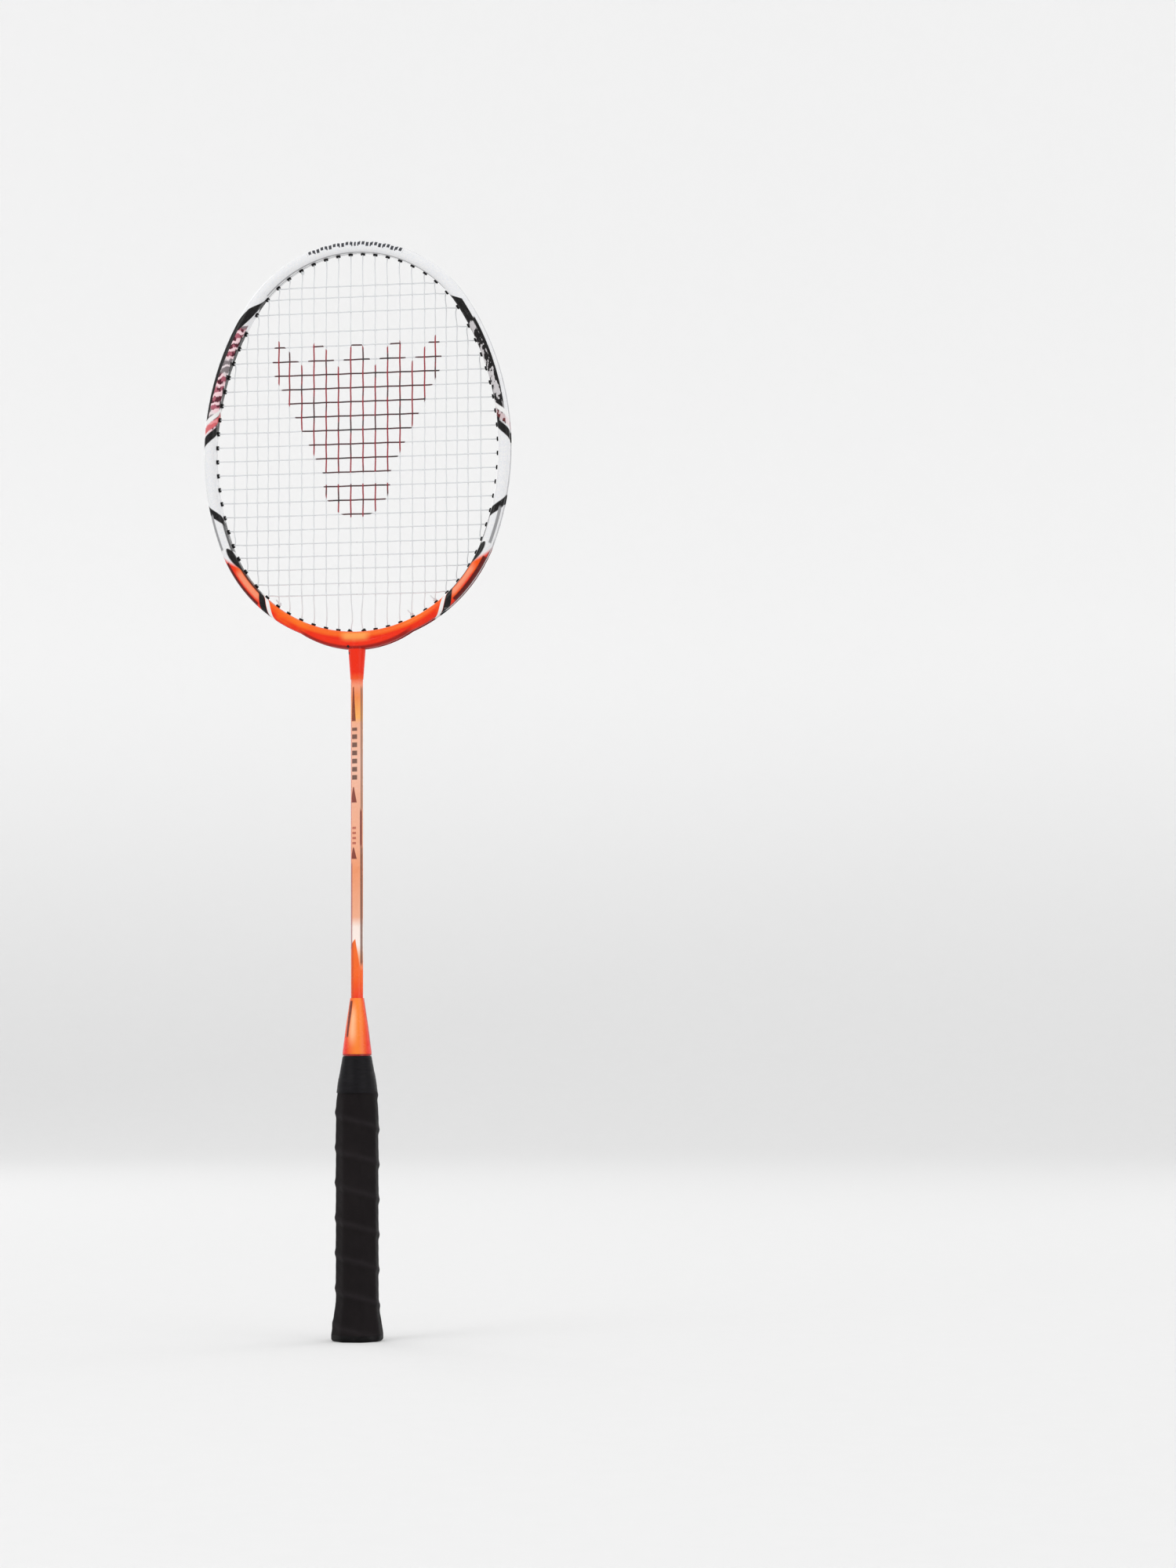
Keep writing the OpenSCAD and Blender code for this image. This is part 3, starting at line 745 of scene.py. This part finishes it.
# ---------------------------------------------------------------- strings


def on_head(angle, off, y=0.0):
    """Point of the head at a normal angle: 0 is the right side, 90 the crown and 180 the left side."""
    left = angle > 90
    b = 180 - angle if left else angle
    if b < LOW_ANGLE:
        centre, radius = BOTTOM_C, BOTTOM_R
    elif b < HIGH_ANGLE:
        centre, radius = SIDE_C, SIDE_R
    else:
        centre, radius = TOP_C, TOP_R
    x = centre[0] + (radius + off) * math.cos(math.radians(b))
    z = centre[1] + (radius + off) * math.sin(math.radians(b))
    return Vector((-x if left else x, y, z))


def top_angle_at(x):
    """Normal angle where the line at x crosses the upper half of the line of grommet tips."""
    angle = math.degrees(math.acos(min(1, x / (TOP_R + TIP_OFF))))
    if angle >= HIGH_ANGLE:
        return angle
    return math.degrees(math.acos((x - SIDE_C[0]) / (SIDE_R + TIP_OFF)))


def bottom_angle_at(x):
    """Normal angle where the line at x crosses the lower half of that line."""
    angle = -math.degrees(math.acos(x / (BOTTOM_R + TIP_OFF)))
    if angle <= LOW_ANGLE:
        return angle
    return -math.degrees(math.acos((x - SIDE_C[0]) / (SIDE_R + TIP_OFF)))


def side_angle_at(z):
    """Normal angle where the line at z crosses the right side of the line of grommet tips."""
    low = math.degrees(math.asin(min(1, max(-1, (z - BOTTOM_C[1]) / (BOTTOM_R + TIP_OFF)))))
    mid = math.degrees(math.asin((z - SIDE_C[1]) / (SIDE_R + TIP_OFF)))
    if low < LOW_ANGLE:
        return low
    if mid < HIGH_ANGLE:
        return mid
    return math.degrees(math.asin((z - TOP_C[1]) / (TOP_R + TIP_OFF)))


def half_x(k):
    """Distance of main k from the middle."""
    if k < TOP_SINGLES:
        return (k + 0.5) * MAIN_PITCH
    spare = LAST_PITCH - OUTER_PITCH if k == HALF_MAINS - 1 else 0
    return (TOP_SINGLES - 0.5) * MAIN_PITCH + (k - TOP_SINGLES + 1) * OUTER_PITCH + spare


def is_right(i):
    """Mains are counted from the left, and the second half of them is right of the middle."""
    return i >= HALF_MAINS


def main_k(i):
    """Number of main i counted outwards from the middle, from 0."""
    return i - HALF_MAINS if is_right(i) else HALF_MAINS - 1 - i


def main_x(i):
    return half_x(main_k(i)) * (1 if is_right(i) else -1)


def row(j):
    """(how many mains the cross passes on each side, whether it shares the next main's hole)"""
    if j < len(TOP_ROWS):
        return TOP_ROWS[j]
    if j >= FIRST_LOW:
        return BOTTOM_ROWS[j - FIRST_LOW]
    return (HALF_MAINS, False)


def row_z(j):
    """Height of cross j."""
    upper = j < len(TOP_ROWS)
    lower = j >= FIRST_LOW
    if row(j)[1]:
        x = half_x(row(j)[0])
        return on_head(top_angle_at(x) if upper else bottom_angle_at(x), TIP_OFF).z
    if upper or lower:
        return (row_z(j - 1) + row_z(j + 1)) / 2
    first = row_z(len(TOP_ROWS) - 1)
    last = row_z(FIRST_LOW)
    return first + (last - first) * (j - len(TOP_ROWS) + 1) / (MIDDLE_ROWS + 1)


def weave(i, j):
    """How far main i stands behind the bed's plane where it meets cross j, which stands as far in front."""
    return WEAVE_Y if (i + j) % 2 == 0 else -WEAVE_Y


def mirrored(angle, right):
    """A normal angle of the right half, or its mirror on the left."""
    return angle if right else 180 - angle


def top_hole(k, right):
    """A hole is (normal angle at the grommet's tip, normal angle in the groove)."""
    angle = mirrored(top_angle_at(half_x(k)), right)
    return (angle, angle)


def bottom_hole(k, right):
    angle = mirrored(bottom_angle_at(half_x(k)), right)
    outlet = -math.degrees(math.acos(THROAT_EXIT_X / (BOTTOM_R + GROOVE_FLOOR)))
    return (angle, mirrored(outlet, right) if k == 0 else angle)


def row_hole(j, right):
    if row(j)[1]:
        return (top_hole if j < len(TOP_ROWS) else bottom_hole)(row(j)[0], right)
    angle = mirrored(side_angle_at(row_z(j)), right)
    return (angle, angle)


def way_in(hole, y):
    """Points through a hole, from the groove to the tip of the grommet."""
    return [on_head(hole[1], HOLE_OFF, y), on_head(hole[0], TIP_OFF, y)]


def along_groove(start, end, y0, y1, off, steps):
    """Points along the groove from just past one hole to just short of the next."""
    points = []
    for s in range(steps + 1):
        t = 0.08 + 0.84 * s / steps
        points.append(on_head(start[1] + (end[1] - start[1]) * t, off, y0 + (y1 - y0) * t))
    return points


def main_route():
    """The main string: in at the lower left, up and down across the bed, and out at the lower right."""
    def lane(i):
        return -LANE_Y if is_right(i) else LANE_Y

    def hole(i, top):
        return (top_hole if top else bottom_hole)(main_k(i), is_right(i))

    def tail(right):
        tie = bottom_hole(MAIN_TIE, right)
        last = bottom_hole(HALF_MAINS - 1, right)
        y = LANE_Y if right else -LANE_Y
        start = [on_head(tie[0], TAIL_OFF, y)] + way_in(tie, y)[::-1]
        return start + along_groove(tie, last, 0, 0, OVER_OFF, 5)

    points = tail(False)
    for i in range(2 * HALF_MAINS):
        up = i % 2 == 0
        y = lane(i)
        rows = [j for j in range(ROWS) if main_k(i) < row(j)[0]]
        points += way_in(hole(i, not up), y)
        points += [Vector((main_x(i), weave(i, j), row_z(j))) for j in (rows[::-1] if up else rows)]
        points += way_in(hole(i, up), y)[::-1]
        if i < 2 * HALF_MAINS - 1:
            points += along_groove(hole(i, up), hole(i + 1, up), y, lane(i + 1), LAY_OFF, 2)
    return points + tail(True)[::-1]


def cross_route():
    """The cross string: in at the upper left, to and fro down the bed, and out at the lower right."""
    def lane(right):
        return LANE_Y if right else -LANE_Y

    start = top_hole(CROSS_TIE, False)
    end = bottom_hole(CROSS_TIE, True)
    points = [on_head(start[0], TAIL_OFF, lane(False))] + way_in(start, lane(False))[::-1]
    points += along_groove(start, row_hole(0, False), lane(False), lane(False), LAY_OFF, 3)
    for j in range(ROWS):
        rightward = j % 2 == 0
        mains = [i for i in range(2 * HALF_MAINS) if main_k(i) < row(j)[0]]
        y1 = lane(rightward)
        points += way_in(row_hole(j, not rightward), lane(not rightward))
        for i in (mains if rightward else mains[::-1]):
            points.append(Vector((main_x(i), -weave(i, j), row_z(j))))
        points += way_in(row_hole(j, rightward), y1)[::-1]
        if j < ROWS - 1:
            points += along_groove(row_hole(j, rightward), row_hole(j + 1, rightward), y1, y1, LAY_OFF, 2)
    points += along_groove(row_hole(ROWS - 1, True), end, lane(True), lane(True), LAY_OFF, 3)
    return points + way_in(end, lane(True)) + [on_head(end[0], TAIL_OFF, lane(True))]


def is_inked(at):
    """Whether a point of the bed is under the stencil, where the ink makes the string a little thicker."""
    rise = at.z / MM - STENCIL_Z
    side = abs(at.x) / MM
    if abs(at.y) > 2 * MM or rise > SKIRT_END:
        return False
    if rise < SKIRT_START:
        return math.hypot(rise - CORK_TOP, side) < CORK_R and rise < CORK_TOP
    half = (rise - SKIRT_APEX) * SKIRT_SPREAD
    across = (side / half * (FEATHERS / 2) + 0.5) % 1.0
    return side < half and rise < SKIRT_END - 2 * NOTCH * abs(across - 0.5)


def build_string(name, route, ink, dark, node):
    """One of the two strings, with its stencil in ink that goes over to dark in places."""
    points, faces = tube(smooth_path(route, 4), lambda at: INKED_R if is_inked(at) else STRING_R, 8)
    return new_piece(name, points, faces, string_finish(name + "_nylon", ink, dark), node)


def build_knot(name, hole, y, material, node):
    """Two and a half turns of string pulled tight round a main, with a cut tail."""
    at = on_head(hole[0], TIP_OFF - 0.9 * MM, y)
    turns, coil_r, rise, steps = 2.5, 0.74 * MM, 1.5 * MM, 40
    side = 1 if y > 0 else -1
    path = []
    for s in range(steps + 1):
        t = s / steps
        turn = 2 * math.pi * turns * t
        spot = Vector((coil_r * math.sin(turn), -side * coil_r * math.cos(turn), (t - 0.5) * rise))
        path.append(at + spot)
    leave = path[-1] - path[-2]
    for s in range(1, 6):
        path.append(path[-1] + leave.normalized() * 0.5 * MM + Vector((0, 0, 0.12 * MM * s)))
    points, faces = tube(path, lambda at: STRING_R, 10, Vector((0, 0, 1)))
    return new_piece(name, points, faces, material, node)


# ---------------------------------------------------------------- handle


def octagon_reach(turn, grow, sharp):
    """Distance from the axis to the octagon at an angle from the front. A low sharp rounds its corners.

    The octagon is the core's section grown all round, and its bevels lengthen by 2 - sqrt(2) of that.
    """
    w = CORE_W / 2 + grow
    d = CORE_D / 2 + grow
    b = CORE_BEVEL + grow * 0.586
    flats = [(0, d), (math.pi / 2, w), (math.pi, d), (3 * math.pi / 2, w)]
    flats += [(math.pi / 4 + q * math.pi / 2, (w + d - b) / math.sqrt(2)) for q in range(4)]
    total = sum(max(0.0, math.cos(turn - at)) ** sharp / reach ** sharp for at, reach in flats)
    return total ** (-1 / sharp)


def taper_reach(z, extra):
    """Radius that the handle narrows to near its top. It widens downwards, so it never trims the butt."""
    if z <= TAPER[0][0]:
        return TAPER[0][1] + extra + (TAPER[0][0] - z) * 0.1
    for (z0, r0), (z1, r1) in zip(TAPER, TAPER[1:]):
        if z <= z1:
            return r0 + (r1 - r0) * (z - z0) / (z1 - z0) + extra
    return TAPER[-1][1] + extra


def soft_min(a, b):
    """The smaller of two lengths, with a rounded change from one to the other."""
    sharp = 30
    return (a ** -sharp + b ** -sharp) ** (-1 / sharp)


def flare(z):
    """How much wider the handle is at a height near the butt, as a ratio."""
    share = max(0.0, (FLARE_TOP - z) / (FLARE_TOP - CAP_TOP))
    return 1 + (BUTT_FLARE - 1) * min(1.0, share)


def low_share(z):
    """1 up to 6 mm above the butt end, and 0 from 16 mm up."""
    return max(0.0, min(1.0, (16 * MM - z) / (10 * MM)))


def on_ring(turn, reach, z):
    """Point at an angle from the front, a distance from the axis and a height."""
    return Vector((reach * math.sin(turn), -reach * math.cos(turn), z))


def wrap_height(phase):
    """Height of the wound grip over one turn: a rounded ridge where turns overlap, then a slow fall."""
    ridge = sum(math.exp(-((phase - at) / 0.1) ** 2) for at in (RIDGE_PHASE, 1 + RIDGE_PHASE))
    fall = 1 - phase if phase > RIDGE_PHASE else phase / RIDGE_PHASE * (1 - RIDGE_PHASE)
    return 0.6 * ridge + 0.4 * fall


def grip_reach(turn, z, phase):
    """Distance from the axis to the wound grip, whose ridges are lower near the butt."""
    level = min(max(z, CAP_TOP), CORE_TOP)
    low = low_share(z)
    base = octagon_reach(turn, GRIP_T - 0.7 * MM + low * 0.25 * MM, 26) * flare(level)
    reach = soft_min(base, taper_reach(level, GRIP_T - 0.6 * MM))
    ridge = wrap_height(phase) * (0.8 - 0.5 * low) * MM
    swell = 0.06 * MM * math.sin(7 * turn + z / MM * 0.31) * math.sin(z / MM * 0.57 + 2 * turn)
    return reach + ridge + swell


def build_grip(material):
    """The wound grip as a grid that leans with the winding, so that its ridges run along the grid."""
    sides, per_turn = 112, 44
    step = RIDGE_PITCH / per_turn
    first = math.floor((GRIP_BOTTOM - RIDGE_AT_FRONT) / step) - per_turn - 2
    last = math.ceil((GRIP_TOP - RIDGE_AT_FRONT) / step) + per_turn + 2
    work = bmesh.new()
    grid = []
    for r in range(first, last):
        phase = (r % per_turn) / per_turn
        ring = []
        for s in range(sides):
            turn = 2 * math.pi * s / sides
            z = RIDGE_AT_FRONT + r * step - RIDGE_PITCH * s / sides
            ring.append(work.verts.new(on_ring(turn, grip_reach(turn, z, phase), z)))
        grid.append(ring)
    for r in range(len(grid) - 1):
        for s in range(sides - 1):
            work.faces.new((grid[r][s], grid[r][s + 1], grid[r + 1][s + 1], grid[r + 1][s]))
        # Once round, the grid joins the row that is a whole turn lower
        if r >= per_turn:
            below = r - per_turn
            work.faces.new((grid[r][sides - 1], grid[below][0], grid[below + 1][0], grid[r + 1][sides - 1]))
    for height, way in ((GRIP_BOTTOM, -1), (GRIP_TOP, 1)):
        everything = work.verts[:] + work.edges[:] + work.faces[:]
        cut = bmesh.ops.bisect_plane(
            work, geom=everything, plane_co=(0, 0, height), plane_no=(0, 0, way), clear_outer=True)
        rim = [e for e in cut["geom_cut"] if isinstance(e, bmesh.types.BMEdge)]
        bmesh.ops.contextual_create(work, geom=rim)
    bmesh.ops.recalc_face_normals(work, faces=work.faces)
    for face in work.faces:
        # The two flat ends have many corners and stay flat
        face.smooth = len(face.verts) < 8
    mesh = bpy.data.meshes.new("wound_grip")
    work.to_mesh(mesh)
    work.free()
    return add_piece("wound_grip", mesh, material, "grip_tape")


def lathe(name, profile, sides, material, node, shape):
    """A closed piece from rings. profile is a list of (reach, height); shape changes a reach by angle."""
    points = []
    for reach, z in profile:
        for s in range(sides):
            turn = 2 * math.pi * s / sides
            points.append(on_ring(turn, shape(turn, reach, z), z))
    return new_piece(name, points, ring_walls(len(profile), sides), material, node)


def build_tape(material):
    """Vinyl tape wound round the top of the grip, with the edge of its outer layer showing."""
    low, high = TAPE_BOTTOM, CORE_TOP - 0.1 * MM
    extra = SKIRT_T + TAPE_T
    profile = [(taper_reach(low, extra) - 1.2 * MM, low)]
    profile.append((taper_reach(low, extra) - 0.1 * MM, low + 0.05 * MM))
    rings = 44
    for r in range(rings + 1):
        z = low + 0.25 * MM + (high - low - 0.5 * MM) * r / rings
        profile.append((taper_reach(z, extra), z))
    profile.append((taper_reach(high, extra) - 0.2 * MM, high))
    profile.append((SHAFT_R + 0.6 * MM, high))

    def wound(turn, reach, z):
        # The outer layer ends at an edge that runs round once while it climbs by a third of the band
        edge = low + (high - low) * (0.28 + 0.34 * ((turn / (2 * math.pi) + 0.55) % 1.0))
        step = 0.16 * MM / (1 + math.exp((z - edge) / (0.14 * MM)))
        crease = 0.05 * MM * math.sin(3 * turn + z / MM * 1.1) * math.sin(z / MM * 2.3 + turn)
        return reach - 0.12 * MM + step + crease

    return lathe("finishing_band", profile, 96, material, "finishing_tape", wound)


def build_butt(material):
    """Butt cap with a rolled edge and a shallow round recess in its end."""
    rim_grow = GRIP_T * 0.8
    rise = CAP_TOP + 0.1 * MM
    round_r = 14.9 * MM
    roll, roll_steps = 1.9 * MM, 8
    inset = []
    for s in range(roll_steps + 1):
        turn = math.pi / 2 * s / roll_steps
        inset.append((roll * (1 - math.sin(turn)), roll * (1 - math.cos(turn))))
    # (how far in from the rim, height), from the middle of the recess out, up the side and back in
    profile = [(14.5 * MM, 0.5 * MM), (7.0 * MM, 0.5 * MM), (6.6 * MM, 0.42 * MM), (6.3 * MM, 0.08 * MM)]
    profile += [(5.9 * MM, 0.0), (3.4 * MM, 0.0)] + inset
    profile += [(0.0, rise - 0.3 * MM), (0.25 * MM, rise), (4.0 * MM, rise)]

    def rim(turn, inward, z):
        # Near the recess the octagon goes most of the way to a circle
        full = octagon_reach(turn, rim_grow, 20) * BUTT_FLARE
        if inward > 4.5 * MM:
            return (full - inward) * 0.35 + (round_r - inward) * 0.65
        return full - inward

    return lathe("butt_end", profile, 112, material, "butt_cap", rim)


# ---------------------------------------------------------------- stage, lights and camera


def build_stage():
    """A pale floor that curves up into a round wall."""
    sides, floor_r, cove_r, wall, cove_steps = 96, 2.9, 1.6, 2.7, 16
    profile = [(floor_r, 0.0)]
    for s in range(1, cove_steps + 1):
        turn = math.pi / 2 * s / cove_steps
        profile.append((floor_r + cove_r * math.sin(turn), cove_r * (1 - math.cos(turn))))
    profile.append((floor_r + cove_r, wall))
    points = [(0, 0, 0)]
    for reach, z in profile:
        for s in range(sides):
            turn = 2 * math.pi * s / sides
            points.append((reach * math.cos(turn), reach * math.sin(turn), z))
    faces = [(0, 1 + s, 1 + (s + 1) % sides) for s in range(sides)]
    for r in range(len(profile) - 1):
        low = 1 + r * sides
        for s in range(sides):
            t = (s + 1) % sides
            faces.append((low + s, low + sides + s, low + sides + t, low + t))
    mesh = bpy.data.meshes.new("studio_floor")
    mesh.from_pydata(points, [], faces)
    mesh.polygons.foreach_set("use_smooth", [True] * len(mesh.polygons))
    f = Finish("pale_paper", specular_ior_level=0.0)
    fibre = f.noise(60, 2)
    # The floor catches more light than the wall, so its paper is a shade darker
    base = f.mix(srgb(228, 228, 228), srgb(253, 253, 253), from_range(f.z, 20, 900))
    f.colour(f.mix(base, srgb(244, 244, 244), fibre * 0.1))
    f.roughness(from_range(fibre, 0.3, 0.7, 0.85, 0.95))
    mesh.materials.append(f.material)
    floor = bpy.data.objects.new("studio_floor", mesh)
    bpy.context.scene.collection.objects.link(floor)


def soft_light(name, at, aim, size, power):
    """White rectangular lamp aimed at a point."""
    data = bpy.data.lights.new(name, "AREA")
    data.shape = "RECTANGLE"
    data.size, data.size_y = size
    data.energy = power
    lamp = bpy.data.objects.new(name, data)
    bpy.context.scene.collection.objects.link(lamp)
    lamp.location = at
    lamp.rotation_euler = (Vector(aim) - Vector(at)).to_track_quat("-Z", "Y").to_euler()


def build_lights():
    middle = (0, 0, OVERALL / 2)
    soft_light("key", (-1.5, -1.9, 1.7), middle, (1.4, 1.4), 13)
    soft_light("fill", (2.2, -1.5, 1.0), middle, (1.6, 1.8), 8)
    soft_light("back_left", (-1.6, 1.9, 1.6), middle, (1.4, 1.4), 9)
    soft_light("back_right", (1.8, 1.8, 1.4), middle, (1.4, 1.4), 7)
    soft_light("top", (0, 0, 3.2), middle, (2.6, 2.6), 6)
    world = bpy.data.worlds.new("studio")
    world.use_nodes = True
    background = world.node_tree.nodes["Background"]
    background.inputs["Color"].default_value = (1, 1, 1, 1)
    background.inputs["Strength"].default_value = 0.9
    bpy.context.scene.world = world


def build_camera():
    """Stands to the right of the racket and low, and looks past it, so that the racket is on the left."""
    round_by = math.radians(14.1)
    distance = 2.2
    height = 0.196
    pan_right = math.radians(3.69)
    tilt_up = math.radians(3.70)
    roll = math.radians(0.26)
    data = bpy.data.cameras.new("camera")
    data.sensor_fit = "VERTICAL"
    data.sensor_height = 36
    data.lens = 82.4
    camera = bpy.data.objects.new("camera", data)
    bpy.context.scene.collection.objects.link(camera)
    place = Matrix.Translation((distance * math.sin(round_by), -distance * math.cos(round_by), height))
    turned = Matrix.Rotation(round_by - pan_right, 4, "Z") @ Matrix.Rotation(math.pi / 2 + tilt_up, 4, "X")
    camera.matrix_world = place @ turned @ Matrix.Rotation(-roll, 4, "Z")
    bpy.context.scene.camera = camera


def paint_node(name, material):
    """Gives a CAD node its finish."""
    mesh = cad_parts[name].data
    mesh.materials.clear()
    mesh.materials.append(material)


def main():
    build_camera()
    paint_node("head_frame", frame_finish())
    paint_node("shaft", shaft_finish())
    paint_node("cone_cap", cone_finish())
    paint_node("handle_core", wood_finish())
    paint_node("t_joint", composite_finish())
    nylon = grommet_finish()
    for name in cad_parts:
        if name.endswith("_grommets"):
            paint_node(name, nylon)

    crimson, maroon = srgb(150, 4, 34), srgb(70, 2, 16)
    mains = build_string("woven_mains", main_route(), crimson, maroon, "main_string")
    build_string("woven_crosses", cross_route(), srgb(64, 2, 14), srgb(24, 1, 6), "cross_string")
    white = mains.data.materials[0]
    build_knot("main_knot_left", bottom_hole(MAIN_TIE, False), LANE_Y, white, "left_main_knot")
    build_knot("main_knot_right", bottom_hole(MAIN_TIE, True), -LANE_Y, white, "right_main_knot")
    build_knot("cross_knot_top", top_hole(CROSS_TIE, False), LANE_Y, white, "top_cross_knot")
    build_knot("cross_knot_bottom", bottom_hole(CROSS_TIE, True), -LANE_Y, white, "bottom_cross_knot")

    build_grip(grip_finish())
    build_tape(tape_finish())
    build_butt(butt_finish())
    build_stage()
    build_lights()
    bpy.context.scene.view_settings.view_transform = "Standard"


main()
